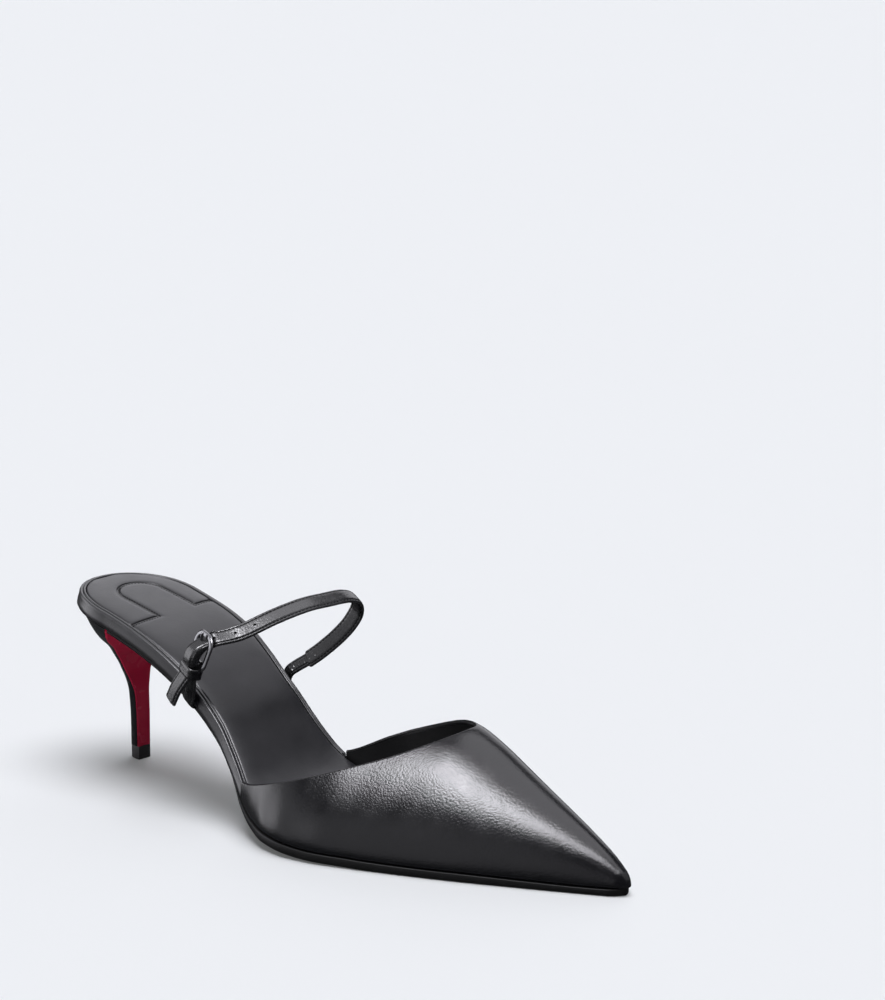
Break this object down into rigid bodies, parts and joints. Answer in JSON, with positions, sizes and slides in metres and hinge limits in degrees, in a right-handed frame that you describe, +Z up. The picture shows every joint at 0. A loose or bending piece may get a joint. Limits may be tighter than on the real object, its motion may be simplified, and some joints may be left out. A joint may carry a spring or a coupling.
{
  "type": "mule shoe",
  "caption": "Woman's pointed mule with a slim high heel, a closed vamp, an open seat and a buckled instep strap.",
  "frame": {"origin": "on the floor, under the middle of the whole shoe's box", "axes": "+X from the heel to the toe, +Z up, -Y towards the outer side of the foot"},
  "size_m": [0.2546, 0.0778, 0.0749],
  "materials": {
    "black_leather": "smooth black nappa, satin",
    "lining_leather": "smooth dark grey lining, satin",
    "sole_leather": "dyed black edge, satin",
    "red_leather": "dark red, glossy",
    "tip_rubber": "matte black",
    "dark_metal": "polished gunmetal"
  },
  "bodies": {
    "root": {"outsole": "sole_leather", "heel": "black_leather", "heel_breast": "red_leather", "top_piece": "tip_rubber", "footbed": "black_leather", "sock_front": "lining_leather", "sock_heel": "lining_leather", "vamp": "black_leather", "strap": "black_leather", "strap_base": "black_leather", "keeper": "black_leather", "buckle": "dark_metal", "prong": "dark_metal"}
  },
  "joints": []
}
